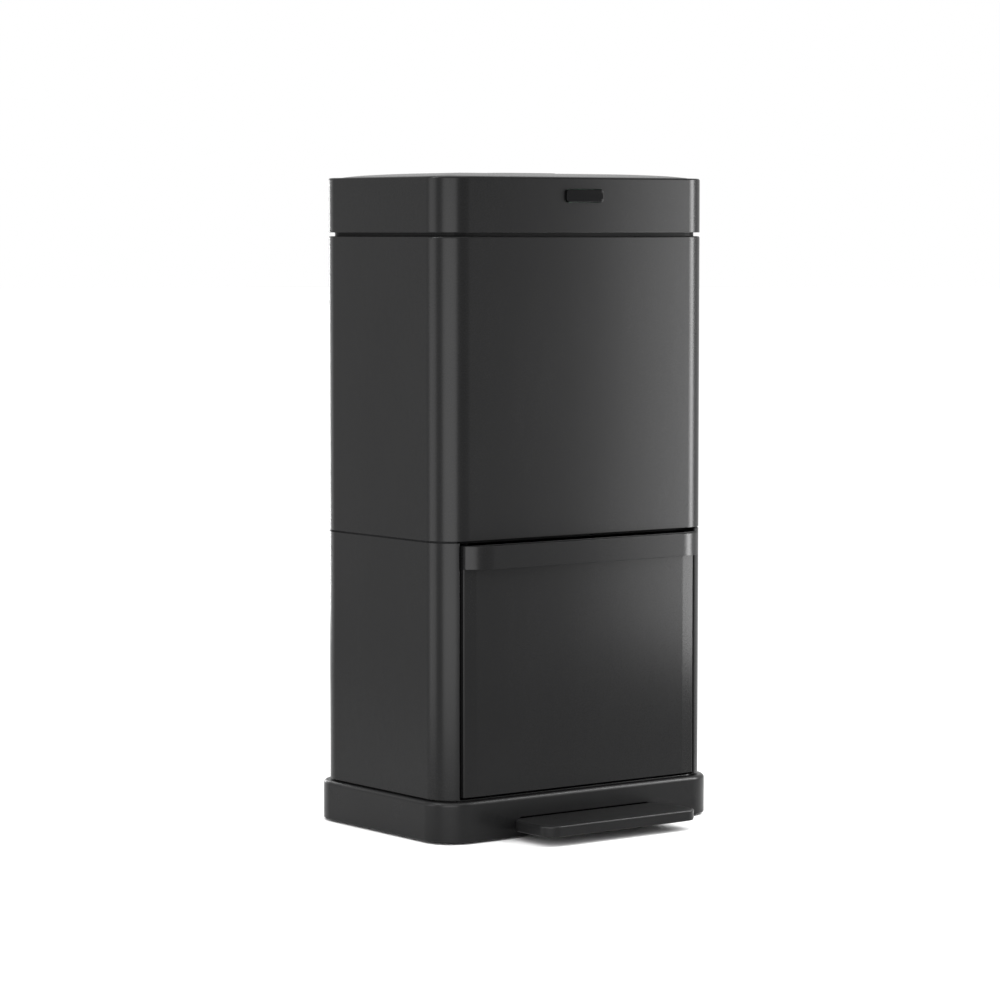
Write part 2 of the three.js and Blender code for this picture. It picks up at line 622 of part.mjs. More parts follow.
const TRAY_BOTTOM = 762.5;
const FILTER_X = -145;
const CRANK_NOTCH = 16;
function lidFrame() {
  const plate = extrude(lidOutline(1.1), TRAY_BOTTOM, TRAY_BOTTOM + 2.5);
  const wall = band(lidOutline(1.1), lidOutline(3.1), TRAY_BOTTOM, 770.6);
  const ribs = [-100, 100].map((x) => box(x - 1, x + 1, LID_FRONT + 2, 90, TRAY_BOTTOM + 1, 772));
  const arms = HINGES.map((x) => join(
    box(x - 8, x + 8, 100, HINGE_Y, TRAY_BOTTOM, SKIRT_Z - GAP),
    rod(KNUCKLE_R, 16, 'x', x, HINGE_Y, HINGE_Z),
  ));
  const guide = extrude(stadium(107, 51), PRESS_TOP, Z_LID_TOP + 0.3);
  const pins = HINGES.map((x) => rod(HINGE_PIN_R + GAP, 60, 'x', x, HINGE_Y, HINGE_Z));
  return cut(
    join(plate, wall, ...ribs, ...arms, guide),
    ...pins,
    extrude(stadium(102, 46), PRESS_TOP - 1, Z_LID_TOP + 2),
    middleBox(CRANK_NOTCH, 88.5, LID_REAR + 1, TRAY_BOTTOM - 1, 772),
    box(138.8, 145.2, 94, LID_REAR + 1, TRAY_BOTTOM - 1, 772),
    box(FILTER_X - 22, FILTER_X + 22, -48, 48, TRAY_BOTTOM - 1, TRAY_BOTTOM + 4),
  );
}
piece(lid, 'lid_frame', lidFrame(), liningPlastic);

function lidSeal() {
  const ring = band(lidOutline(1.3), lidOutline(6), 757.5, TRAY_BOTTOM - GAP);
  return cut(ring, box(-CRANK_NOTCH, 146, 80, LID_REAR + 1, 757, 764));
}
piece(lid, 'lid_seal', lidSeal(), rubber);

function lidCrank() {
  const top = TRAY_BOTTOM - GAP;
  const plate = middleBox(14, 70, 88, top - 2.3, top);
  const cheeks = [-10, 8].map((x) => join(
    box(x, x + 2, 80, 109, ROLLER_Z - 4.6, top),
    box(x, x + 2, 89, 109, top - 0.5, ROLLER_Z + 3.4),
  ));
  return cut(join(plate, ...cheeks), rod(1.4, 40, 'x', 0, ROD_Y, ROLLER_Z));
}
piece(lid, 'lid_crank', lidCrank(), bareSteel);
const roller = join(rod(ROLLER_R, 15.2, 'x', 0, 0, 0), rod(1.1, 21, 'x', 0, 0, 0));
piece(lid, 'crank_roller', roller, springSteel, 0, ROD_Y, ROLLER_Z);

function damperRotor() {
  return join(
    rod(1.5, 12, 'x', 146, HINGE_Y, HINGE_Z),
    rod(4.4, 4, 'x', 142, HINGE_Y, HINGE_Z),
    box(140, 144, 96, HINGE_Y, 759.8, SKIRT_Z - GAP),
    box(131, 144, 88, 104, 759.6, TRAY_BOTTOM - GAP),
  );
}
piece(lid, 'damper_rotor', damperRotor(), satinPlastic);

function filterCover() {
  const plate = box(FILTER_X - 30, FILTER_X + 30, -56, 56, 759.6, TRAY_BOTTOM - GAP);
  const slots = [];
  for (let i = -4; i <= 4; i += 1) {
    slots.push(box(FILTER_X - 20, FILTER_X + 20, i * 10 - 2.5, i * 10 + 2.5, 759, 763));
  }
  return cut(plate, ...slots);
}
const felt = box(-21.5, 21.5, -47.5, 47.5, 0, 7);
piece(lid, 'filter_cartridge', felt, carbonFelt, FILTER_X, 0, TRAY_BOTTOM + 0.1);
piece(lid, 'filter_cover', filterCover(), satinPlastic);

// ---------- press ----------
const press = group(lid);
press.position.z = PRESS_TOP;
const SPRING_X = 76;
const PLATE_TOP = -2.2; // ribs of the press plate, under the guide

const tube = (outer, inner, z0, z1) => band(stadium(...outer), stadium(...inner), z0, z1);
piece(press, 'press_sleeve', tube([101.2, 45.2], [97.6, 41.6], 0, 92.5), satinPlastic);

function pressColumn() {
  const foot = extrude(stadium(112, 56), PLATE_TOP + GAP, PLATE_TOP + 1.9);
  return join(tube([96.8, 40.8], [93.2, 37.2], PLATE_TOP + 1, 93.5), foot);
}
piece(press, 'press_column', pressColumn(), satinPlastic);

function pressPlate() {
  const plan = (inset) => outline(150, PRESS_Y - 78, PRESS_Y + 78, 22, inset);
  const z0 = PLATE_TOP - 8;
  const rim = band(plan(0), plan(2.5), z0, PLATE_TOP);
  const ribTop = PLATE_TOP - 1;
  const ribs = [-110, -60, 0, 60, 110].map((x) => box(x - 1, x + 1, PRESS_Y - 77, PRESS_Y + 77, z0 + 1, ribTop));
  const spines = [-40, 0, 40].map((y) => middleBox(149, PRESS_Y + y - 1, PRESS_Y + y + 1, z0 + 1, ribTop - 1));
  return join(extrude(plan(0), z0, z0 + 3), rim, ...ribs, ...spines);
}
piece(press, 'press_plate', pressPlate(), liningPlastic);

const springHeight = TRAY_BOTTOM - PRESS_TOP - GAP - (PLATE_TOP + GAP);
for (const [side, sx] of sides) {
  const spring = coilSpring(4.5, springHeight, 8, 1.4);
  piece(press, `press_spring_${side}`, spring, springSteel, sx * SPRING_X, PRESS_Y, PLATE_TOP + GAP);
}

const GRIP_TOP = Z_LID_TOP + 0.2 - PRESS_TOP;
function pressGrip() {
  return cut(
    extrude(stadium(92.4, 36.4), 6, GRIP_TOP),
    extrude(stadium(88.4, 32.4), 5, GRIP_TOP - 19),
    extrude(stadium(84, 29), GRIP_TOP - 16, GRIP_TOP + 1),
  );
}
piece(press, 'press_grip', pressGrip(), satinPlastic);
const bar = rod(GRIP_BAR_R, 82.4, 'x', 0, 0, 0);
piece(press, 'grip_bar', bar, bareSteel, 0, PRESS_Y, GRIP_TOP - 6);

export default object;
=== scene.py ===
"""Looks of the two-tier trash compactor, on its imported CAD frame. Metres, +Z up, front towards -Y."""
import json
import math

import bmesh
import bpy
from mathutils import Euler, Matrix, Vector


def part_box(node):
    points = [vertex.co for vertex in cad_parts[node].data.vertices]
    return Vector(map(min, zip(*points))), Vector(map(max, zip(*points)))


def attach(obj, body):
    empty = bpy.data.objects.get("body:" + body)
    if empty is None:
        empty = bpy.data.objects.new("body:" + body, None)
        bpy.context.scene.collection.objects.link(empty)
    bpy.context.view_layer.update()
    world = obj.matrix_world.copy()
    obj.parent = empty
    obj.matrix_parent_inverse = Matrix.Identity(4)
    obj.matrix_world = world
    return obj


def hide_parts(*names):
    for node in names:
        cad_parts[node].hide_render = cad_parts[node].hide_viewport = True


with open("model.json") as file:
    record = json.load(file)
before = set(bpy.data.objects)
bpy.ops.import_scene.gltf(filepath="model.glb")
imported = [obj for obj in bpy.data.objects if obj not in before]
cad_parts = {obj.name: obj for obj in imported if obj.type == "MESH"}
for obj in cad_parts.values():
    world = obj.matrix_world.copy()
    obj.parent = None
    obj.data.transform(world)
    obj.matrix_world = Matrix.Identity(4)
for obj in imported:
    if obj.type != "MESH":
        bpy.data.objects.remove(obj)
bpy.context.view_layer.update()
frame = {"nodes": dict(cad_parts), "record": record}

MM = 0.001
WELD = 1e-6  # points closer than this become one
CORNER_STEPS = 28  # segments in a quarter turn of a visible rounded outline
LEAST_R = 0.4 * MM  # an outline that is drawn in keeps at least this corner radius

BODY_R = 36.4 * MM
BASE_R = 40 * MM
LID_R = 24.5 * MM
PEDAL_R = 18 * MM
SHEET = 0.8 * MM  # steel sheet of the shells and the lid
HEM = 0.7 * MM  # rounding of a shell's lower rim
BASE_TOP = 49.3 * MM
LAND = 50.9 * MM  # top of the raised land that carries the lower shell
GROOVE = 4.5 * MM  # depth of the shadow gap between the base and the lower shell
CAP_FLANGE = 2.3 * MM  # width of the window cap's flange, which the collar hides


# ---------- node materials ----------
class Nodes:
    """Builds one material's node tree, with its detail fixed to the object's own coordinates."""

    def __init__(self, name, color, roughness, metallic=0.0, specular=0.5):
        self.material = bpy.data.materials.new(name)
        self.material.use_nodes = True
        self.tree = self.material.node_tree
        self.shader = self.tree.nodes["Principled BSDF"]
        self.shader.inputs["Base Color"].default_value = (*color, 1)
        self.shader.inputs["Roughness"].default_value = roughness
        self.shader.inputs["Metallic"].default_value = metallic
        self.shader.inputs["Specular IOR Level"].default_value = specular
        self.coords = self.add("ShaderNodeTexCoord").outputs["Object"]

    def add(self, kind, **settings):
        node = self.tree.nodes.new(kind)
        for key, value in settings.items():
            setattr(node, key, value)
        return node

    def link(self, source, target):
        self.tree.links.new(source, target)

    def stretched(self, scale):
        mapping = self.add("ShaderNodeMapping")
        mapping.inputs["Scale"].default_value = scale
        self.link(self.coords, mapping.inputs["Vector"])
        return mapping.outputs["Vector"]

    def noise(self, scale, detail=2.0, stretch=None, roughness=0.5):
        node = self.add("ShaderNodeTexNoise")
        node.inputs["Scale"].default_value = scale
        node.inputs["Detail"].default_value = detail
        node.inputs["Roughness"].default_value = roughness
        self.link(self.stretched(stretch) if stretch else self.coords, node.inputs["Vector"])
        return node.outputs["Fac"]

    def cells(self, scale, feature="F1"):
        node = self.add("ShaderNodeTexVoronoi", feature=feature)
        node.inputs["Scale"].default_value = scale
        self.link(self.coords, node.inputs["Vector"])
        return node.outputs["Distance"]

    def spread(self, value, low, high, in_low=0.3, in_high=0.7):
        """Maps a value from its usual range onto another one, and clips it there."""
        node = self.add("ShaderNodeMapRange")
        for key, number in (("From Min", in_low), ("From Max", in_high), ("To Min", low), ("To Max", high)):
            node.inputs[key].default_value = number
        self.link(value, node.inputs["Value"])
        return node.outputs["Result"]

    def math(self, operation, a, b):
        node = self.add("ShaderNodeMath", operation=operation)
        self.link(a, node.inputs[0])
        self.link(b, node.inputs[1])
        return node.outputs["Value"]

    def color(self, factor, dark, light):
        """Drives the base color between two tones."""
        node = self.add("ShaderNodeMix", data_type="RGBA")
        self.link(factor, node.inputs["Factor"])
        node.inputs[6].default_value = (*dark, 1)  # the node's color A
        node.inputs[7].default_value = (*light, 1)  # its color B
        self.link(node.outputs[2], self.shader.inputs["Base Color"])  # its color result

    def rough(self, output):
        self.link(output, self.shader.inputs["Roughness"])

    def bump(self, height, strength, distance):
        node = self.add("ShaderNodeBump")
        node.inputs["Strength"].default_value = strength
        node.inputs["Distance"].default_value = distance
        self.link(height, node.inputs["Height"])
        self.link(node.outputs["Normal"], self.shader.inputs["Normal"])


def coated_steel():
    """Satin black powder coat: a fine orange peel, slow colour drift and faint wiped smears."""
    m = Nodes("coated_steel", (0.004, 0.004, 0.0041), 0.27, specular=0.11)
    drift = m.noise(9, 3)
    m.color(drift, (0.0035, 0.0035, 0.0036), (0.0046, 0.0046, 0.0047))
    wipe = m.noise(5, 5, stretch=(1.0, 1.0, 0.35), roughness=0.6)
    peel = m.noise(900, 2)
    m.rough(m.math("ADD", m.spread(wipe, 0.255, 0.285), m.spread(peel, -0.012, 0.012)))
    m.bump(peel, 0.05, 0.00005)
    return m.material


def moulded(name, dark, light, roughness, grain, depth, specular):
    """Injection-moulded plastic with a spark-eroded grain."""
    m = Nodes(name, dark, roughness, specular=specular)
    m.color(m.noise(14, 4), dark, light)
    fine = m.noise(grain, 3)
    pits = m.cells(grain * 0.8)
    wear = m.spread(m.noise(22, 4), roughness - 0.03, roughness + 0.04)
    m.rough(m.math("ADD", wear, m.spread(fine, -0.02, 0.02)))
    m.bump(m.math("ADD", fine, pits), depth, 0.00008)
    return m.material


def metal(name, dark, light, roughness, stretch):
    """Bare sheet or wire with a rolled or drawn direction."""
    m = Nodes(name, light, roughness, metallic=1.0)
    lines = m.noise(260, 3, stretch=stretch)
    bloom = m.noise(35, 4)
    m.color(m.math("MULTIPLY", lines, bloom), dark, light)
    m.rough(m.spread(lines, roughness - 0.06, roughness + 0.1))
    m.bump(lines, 0.12, 0.00005)
    return m.material


def gloss_black():
    """Hard gloss plastic with a few hairline scratches that only catch the light."""
    m = Nodes("gloss_black", (0.002, 0.002, 0.0021), 0.12, specular=0.1)
    scratch = m.noise(120, 2, stretch=(0.2, 1.0, 6.0))
    m.rough(m.spread(scratch, 0.09, 0.16, 0.5, 0.8))
    m.color(m.noise(30, 2), (0.0016, 0.0016, 0.0017), (0.0026, 0.0026, 0.0028))
    m.bump(m.noise(60, 2), 0.02, 0.00004)
    return m.material


def rubber():
    """Dull rubber with a cloudy colour and a fine pitting."""
    m = Nodes("rubber", (0.012, 0.012, 0.012), 0.75, specular=0.3)
    m.color(m.noise(40, 4), (0.010, 0.010, 0.010), (0.022, 0.022, 0.021))
    m.rough(m.spread(m.noise(90, 3), 0.68, 0.85))
    m.bump(m.noise(700, 3), 0.2, 0.0001)
    return m.material


def carbon_felt():
    """Matt felt with coarse, slightly directed fibres."""
    m = Nodes("carbon_felt", (0.012, 0.012, 0.012), 0.95, specular=0.1)
    fibres = m.noise(420, 6, stretch=(1.0, 2.2, 1.0), roughness=0.7)
    m.color(fibres, (0.006, 0.006, 0.006), (0.035, 0.035, 0.036))
    m.bump(fibres, 0.8, 0.0004)
    return m.material


def circuit_board():
    """Green board with lighter lines between cells, like copper under the lacquer."""
    m = Nodes("circuit_board", (0.01, 0.06, 0.025), 0.4)
    traces = m.cells(160, "DISTANCE_TO_EDGE")
    m.color(m.spread(traces, 0, 1, 0.02, 0.06), (0.03, 0.16, 0.07), (0.008, 0.05, 0.02))
    m.rough(m.spread(m.noise(50), 0.33, 0.45))
    m.bump(traces, 0.2, 0.0001)
    return m.material


MATERIALS = {
    "coated_steel": coated_steel(),
    "satin_plastic": moulded(
        "satin_plastic", (0.0038, 0.0038, 0.0039), (0.0052, 0.0052, 0.0053),
        roughness=0.3, grain=1100, depth=0.1, specular=0.115,
    ),
    "lining_plastic": moulded(
        "lining_plastic", (0.0032, 0.0032, 0.0033), (0.0055, 0.0055, 0.0057),
        roughness=0.72, grain=800, depth=0.25, specular=0.05,
    ),
    "bucket_plastic": moulded(
        "bucket_plastic", (0.026, 0.027, 0.029), (0.034, 0.035, 0.037),
        roughness=0.45, grain=700, depth=0.2, specular=0.25,
    ),
    "gloss_black": gloss_black(),
    "bare_steel": metal(
        "bare_steel", (0.06, 0.061, 0.063), (0.11, 0.112, 0.115), roughness=0.42, stretch=(0.15, 1.0, 1.0)
    ),
    "spring_steel": metal(
        "spring_steel", (0.2, 0.205, 0.215), (0.42, 0.43, 0.44), roughness=0.28, stretch=(1.0, 1.0, 0.4)
    ),
    # darker and less glossy than the other plastics: painted shade for the collar frame's neck, deep in the
    # gap under the collar
    "neck_painted_shade": moulded(
        "neck_painted_shade", (0.003, 0.003, 0.0031), (0.0042, 0.0042, 0.0043),
        roughness=0.55, grain=800, depth=0.2, specular=0.055,
    ),
    "rubber": rubber(),
    "carbon_felt": carbon_felt(),
    "circuit_board": circuit_board(),
}
# nodes that look unlike the rest of their slot: the collar frame's neck gets a darker, duller plastic,
# which is painted shade for the recessed gap under the collar
OWN_LOOK = {"collar_frame": "neck_painted_shade"}
SLOT_OF = {part["node"]: part["material_slot"] for part in frame["record"]["subparts"]}


# ---------- outlines ----------
def quarter(cx, cy, radius, start, steps=CORNER_STEPS):
    """Points of a quarter turn that starts at an angle in degrees and runs anticlockwise."""
    angles = [math.radians(start + 90 * i / steps) for i in range(steps + 1)]
    return [(cx + radius * math.cos(a), cy + radius * math.sin(a)) for a in angles]


def outline(half, front, rear, radius, inset=0.0):
    """A rounded rectangle, anticlockwise from the front right corner, drawn in by an inset."""
    w, y0, y1 = half - inset, front + inset, rear - inset
    r = max(radius - inset, LEAST_R)
    return (
        quarter(w - r, y0 + r, r, -90)
        + quarter(w - r, y1 - r, r, 0)
        + quarter(-w + r, y1 - r, r, 90)
        + quarter(-w + r, y0 + r, r, 180)
    )


def plan_of(node, radius):
    """The rounded outline round a CAD node's box, as a function of the inset."""
    low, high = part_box(node)
    return lambda inset: outline(high.x, low.y, high.y, radius, inset)


def round_edge(inset, z, radius, start, end, steps=6):
    """Profile points of a rounded edge about (inset, z), between two angles in degrees."""
    angles = [math.radians(start + (end - start) * i / steps) for i in range(steps + 1)]
    return [(inset + radius * math.cos(a), z + radius * math.sin(a)) for a in angles]


def mirrored(path):
    """The same points on the other side of the object, in the opposite order."""
    return [(-x, y) for x, y in reversed(path)]


# ---------- meshes ----------
def add_object(name, data):
    item = bpy.data.objects.new(name, data)
    bpy.context.collection.objects.link(item)
    return item


def mesh_object(name, bm):
    bmesh.ops.remove_doubles(bm, verts=bm.verts, dist=WELD)
    bmesh.ops.recalc_face_normals(bm, faces=bm.faces)
    mesh = bpy.data.meshes.new(name)
    bm.to_mesh(mesh)
    bm.free()
    return add_object(name, mesh)


def skin_rings(name, rings, closed_ring=True, closed_profile=False):
    """A mesh over a stack of equal rings of points. An open stack of closed rings is capped."""
    bm = bmesh.new()
    layers = [[bm.verts.new(point) for point in ring] for ring in rings]
    pairs = list(zip(layers, layers[1:]))
    if closed_profile:
        pairs.append((layers[-1], layers[0]))
    for low, high in pairs:
        count = len(low)
        for i in range(count if closed_ring else count - 1):
            j = (i + 1) % count
            bm.faces.new((low[i], low[j], high[j], high[i]))
    if closed_ring and not closed_profile:
        bm.faces.new(layers[0])
        bm.faces.new(layers[-1])
    return mesh_object(name, bm)


def swept(name, plan, profile, closed_profile=True):
    """Sweeps a profile of (inset, z) points round a plan, which gives the outline at each inset."""
    rings = [[(x, y, z) for x, y in plan(inset)] for inset, z in profile]
    return skin_rings(name, rings, closed_profile=closed_profile)


def level_prism(name, ring, z0, z1):
    """A closed prism over a ring of (x, y) points."""
    return skin_rings(name, [[(x, y, z) for x, y in ring] for z in (z0, z1)])


def front_prism(name, ring, y0, y1):
    """A closed prism that runs back from the front, over a ring of (x, z) points."""
    return skin_rings(name, [[(x, y, z) for x, z in ring] for y in (y0, y1)])


def block(name, low, high):
    bm = bmesh.new()
    bmesh.ops.create_cube(bm, size=1.0)
    size = Vector(high) - Vector(low)
    centre = (Vector(high) + Vector(low)) / 2
    for vertex in bm.verts:
        vertex.co = Vector(a * b for a, b in zip(vertex.co, size)) + centre
    return mesh_object(name, bm)


def apply_modifiers(piece):
    bpy.context.view_layer.objects.active = piece
    for modifier in list(piece.modifiers):
        with bpy.context.temp_override(object=piece):
            bpy.ops.object.modifier_apply(modifier=modifier.name)


def carve(piece, *tools):
    """Cuts closed tool objects out of a piece, and removes the tools."""
    for tool in tools:
        modifier = piece.modifiers.new("carve", "BOOLEAN")
        modifier.operation = "DIFFERENCE"
        modifier.solver = "EXACT"
        modifier.object = tool
        apply_modifiers(piece)
        bpy.data.objects.remove(tool)


def bevel(piece, width, segments, angle):
    """Adds a bevel to the edges that turn by more than an angle in degrees."""
    modifier = piece.modifiers.new("bevel", "BEVEL")
    modifier.width = width
    modifier.segments = segments
    modifier.limit_method = "ANGLE"
    modifier.angle_limit = math.radians(angle)


def soften(piece, width, segments, angle):
    """Bevels a piece for good."""
    bevel(piece, width, segments, angle)
    apply_modifiers(piece)


def even_normals(piece):
    modifier = piece.modifiers.new("even_normals", "WEIGHTED_NORMAL")
    modifier.weight = 100
    return modifier


def smooth(piece, angle):
    """Smooth shading that breaks at edges sharper than an angle in degrees."""
    piece.data.shade_smooth()
    piece.data.set_sharp_from_angle(angle=math.radians(angle))
    even_normals(piece).keep_sharp = True


def ribbon(name, path, z0, z1, thickness, rim):
    """A bent sheet: a plan path of (x, y) raised from z0 to z1 and thickened, with its rims rounded."""
    piece = skin_rings(name, [[(x, y, z) for x, y in path] for z in (z0, z1)], closed_ring=False)
    solid = piece.modifiers.new("sheet", "SOLIDIFY")
    solid.thickness = thickness
    solid.use_even_offset = True
    soften(piece, rim, segments=2, angle=50)
    return piece


def shell_band(name, node, edge, flange, steps=6):
    """A sheet wall round a CAD node's box: a hemmed foot, a rounded top edge and an inner flange."""
    low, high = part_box(node)
    z0, z1 = low.z, high.z
    profile = [(SHEET, z0 + SHEET)]
    profile += round_edge(HEM, z0 + HEM, HEM, 270, 180)
    profile += round_edge(edge, z1 - edge, edge, 180, 90, steps)
    profile += [(flange, z1), (flange, z1 - SHEET)]
    profile += round_edge(edge, z1 - edge, edge - SHEET, 90, 180, steps)
    return swept(name, plan_of(node, BODY_R), profile)


def stand_in(piece, node, body, angle=32):
    """Finishes a piece that takes the place of one CAD node."""
    smooth(piece, angle)
    piece.data.materials.clear()
    piece.data.materials.append(MATERIALS[SLOT_OF[node]])
    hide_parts(node)
    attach(piece, body)


# ---------- shells ----------
def upper_shell():
    piece = shell_band("upper_shell_skin", "upper_shell", edge=2.2 * MM, flange=7.2 * MM)
    stand_in(piece, "upper_shell", "cabinet")


def lower_shell():
    """The wrap round left, back and right, with its two front edges folded in beside the drawer."""
    low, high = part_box("lower_shell")
    opening = 175.9 * MM  # half width of the drawer's opening
    fold = 1.6 * MM
    fold_depth = 18 * MM
    ahead = 0.1 * MM  # the corner's curve starts this far ahead of the CAD node's folded edges
    ring = outline(high.x, low.y - ahead, high.y, BODY_R)
    middle = (low.y + high.y) / 2
    half = [p for p in ring if p[0] > (opening + fold if p[1] < middle else 0)]
    start = min(range(len(half)), key=lambda i: half[i][1])
    wrap = half[start:] + half[:start]
    lip = wrap[0][1]
    right = [(opening, lip + fold_depth), *quarter(opening + fold, lip + fold, fold, 180, 8), *wrap]
    path = right + mirrored(right)
    piece = ribbon("lower_shell_skin", path, low.z, high.z, SHEET, rim=0.25 * MM)
    stand_in(piece, "lower_shell", "cabinet")


def window_size():
    """Centre, half width and half height of the cap's visible face."""
    low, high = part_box("status_button")
    return (low + high) / 2, (high.x - low.x) / 2 - CAP_FLANGE, (high.z - low.z) / 2 - CAP_FLANGE


def collar_band():
    piece = shell_band("collar_band", "collar_skin", edge=2.4 * MM, flange=5 * MM, steps=8)
    gap = 0.8 * MM
    corner = 3.4 * MM
    centre, half, tall = window_size()
    tall += gap
    ring = outline(half + gap, centre.z - tall, centre.z + tall, corner)
    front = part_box("collar_skin")[0].y
    window = front_prism(
        "window_tool", [(centre.x + x, z) for x, z in ring], front - 2 * MM, front + 4 * MM
    )
    carve(piece, window)
    stand_in(piece, "collar_skin", "cabinet")


def button_cap():
    """The glossy cap in the collar's window, without its hidden flange."""
    low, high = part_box("status_button")
    centre, half, tall = window_size()
    edge = 0.4 * MM
    corner, least_corner = 3 * MM, 1.2 * MM
    face_inset = 3 * MM  # of the ring that closes the face
    left_out = 4 * MM  # length of the CAD cap's rear end, with its flange
    profile = [(face_inset, low.y), *round_edge(edge, low.y + edge, edge, 270, 180, 4)]
    profile += [(0.0, high.y - left_out)]
    rings = []
    for inset, y in profile:
        ring = outline(half - inset, inset - tall, tall - inset, max(corner - inset, least_corner))
        rings.append([(centre.x + x, y, centre.z + z) for x, z in ring])
    stand_in(skin_rings("window_cap", rings), "status_button", "button", angle=40)


def lid_dome():
    """The domed lid: a tight roll at its edge, then a slow swell up to a level middle."""
    low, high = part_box("lid_skin")
    rise = 6.9 * MM  # of the middle above the straight rim
    roll = 1.5 * MM  # part of the rise that the roll takes
    turn = 2.5 * MM  # width of the roll
    reach = 105 * MM  # width of the swell
    fullness = 2.3  # power of the swell's curve
    swell_steps = 26
    shoulder = high.z - rise

    def height(inset):
        part = min(inset / turn, 1)
        swell = (rise - roll) * (1 - (1 - min(inset / reach, 1)) ** fullness)
        return shoulder + roll * math.sqrt(part * (2 - part)) + swell

    insets = [turn * (1 - math.cos(math.radians(a))) for a in range(0, 91, 10)]
    insets += [turn + (reach - turn) * (i / swell_steps) for i in range(1, swell_steps + 1)]
    outer = [(SHEET, low.z), (0.0, low.z)] + [(inset, height(inset)) for inset in insets]
    inner = [(SHEET, low.z - SHEET)] + [(inset + SHEET, height(inset) - SHEET) for inset in insets]
    plan = plan_of("lid_skin", LID_R)
    piece = swept("lid_dome", plan, outer, closed_profile=False)
    hollow = swept("hollow", plan, inner, closed_profile=False)
    guide_low, guide_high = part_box("press_sleeve")
    centre = (guide_low + guide_high) / 2
    clearance = 3.2 * MM  # round the press
    half = (guide_high.x - guide_low.x) / 2 + clearance
    wide = (guide_high.y - guide_low.y) / 2 + clearance
    ring = outline(half, centre.y - wide, centre.y + wide, wide - 0.01 * MM)
    carve(piece, hollow, level_prism("hole", ring, low.z - 5 * MM, high.z + 5 * MM))
    stand_in(piece, "lid_skin", "lid", angle=25)


# ---------- base ----------
body_plan = plan_of("upper_shell", BODY_R)


def base_moulding():
    """The plastic base: a thin wall, a rounded shoulder, the land, the pedal's slot and the rod's hole."""
    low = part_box("base_plinth")[0]
    edge = 4.8 * MM
    foot = 1.2 * MM
    wall = 3 * MM
    deck = BASE_TOP - wall
    deck_inset = 30 * MM
    base = plan_of("base_plinth", BASE_R)
    levels = [(base, deck_inset, deck), (base, wall, deck), (base, wall, low.z)]
    levels += [(base, *point) for point in round_edge(foot, low.z + foot, foot, 270, 180, 4)]
    levels += [(base, *point) for point in round_edge(edge, BASE_TOP - edge, edge, 180, 90, 10)]
    levels += [(body_plan, GROOVE, BASE_TOP), (body_plan, GROOVE, LAND), (body_plan, deck_inset, LAND)]
    piece = skin_rings("base_moulding", [[(x, y, z) for x, y in plan(inset)] for plan, inset, z in levels])

    slot_half, slot_bottom, slot_top, slot_r = 98 * MM, 12.2 * MM, 25 * MM, 4 * MM
    ring = outline(slot_half, slot_bottom, slot_top, slot_r)
    slot = front_prism("slot", ring, low.y - 5 * MM, low.y + 4 * MM)
    rod_low, rod_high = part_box("push_rod")
    half, reach = 7.5 * MM, 1 * MM
    hole = block("rod_hole", (-half, rod_low.y - reach, low.z), (half, rod_high.y + reach, LAND + 5 * MM))
    carve(piece, slot, hole)
    soften(piece, 0.8 * MM, segments=3, angle=50)
    stand_in(piece, "base_plinth", "cabinet", angle=30)


def base_upstand():
    """The rib inside the lower shell's foot, open where the drawer comes out."""
    height = 9 * MM
    thick = 2 * MM
    outer = SHEET + 0.3 * MM
    inner = outer + thick
    top = LAND + height
    rib = swept("base_upstand", body_plan, [(inner, LAND), (outer, LAND), (outer, top), (inner, top)])
    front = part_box("lower_shell")[0].y
    gate_half, gate_depth = 179 * MM, 40 * MM
    near = (-gate_half, front - thick, LAND - thick)
    far = (gate_half, front + gate_depth, top + height)
    carve(rib, block("gate", near, far))
    soften(rib, 0.3 * MM, segments=2, angle=50)
    smooth(rib, angle=30)
    rib.data.materials.append(MATERIALS[SLOT_OF["base_plinth"]])
    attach(rib, "cabinet")


def pedal_tread():
    """The pedal's cover: a flat rounded plate with soft edges."""
    low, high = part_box("pedal_cover")
    top_edge = 2.2 * MM
    low_edge = 1.6 * MM
    profile = [(low_edge + 3 * MM, low.z)]
    profile += round_edge(low_edge, low.z + low_edge, low_edge, 270, 180, 5)
    profile += round_edge(top_edge, high.z - top_edge, top_edge, 180, 90, 8)
    profile += [(top_edge + 4 * MM, high.z)]
    piece = swept("pedal_tread", plan_of("pedal_cover", PEDAL_R), profile, closed_profile=False)
    tongue_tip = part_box("pedal_lever")[0].y
    room = 0.4 * MM  # round the lever's tongue, which ends in the pocket
    half = 88 * MM + room
    bottom, top = 16.6 * MM - room, 18.6 * MM + room
    carve(piece, block("pocket", (-half, tongue_tip - room, bottom), (half, high.y + 2 * MM, top)))
    stand_in(piece, "pedal_cover", "pedal", angle=30)


# ---------- drawer front ----------
def drawer_front():
    """One folded sheet: a return at each side and a light crease near it."""
    low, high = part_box("drawer_panel")
    half, face = high.x, low.y
    crease = 155.4 * MM
    crease_half = 0.6 * MM
    step = 0.06 * MM  # how far the crease's outer line lies behind the face
    fold_back = 1.1 * MM  # how far the side falls back from the crease to the return
    bend = 1.5 * MM
    right = [(crease - crease_half, face), (crease + crease_half, face + step)]
    right += [(half - bend, face + fold_back - 0.1 * MM)]
    right += quarter(half - bend, face + fold_back + bend, bend, -90, 8)[1:]
    right += [(half, high.y)]
    path = mirrored(right) + right
    piece = ribbon("drawer_front", path, low.z, high.z, 1.0 * MM, rim=0.3 * MM)
    stand_in(piece, "drawer_panel", "drawer", angle=8)


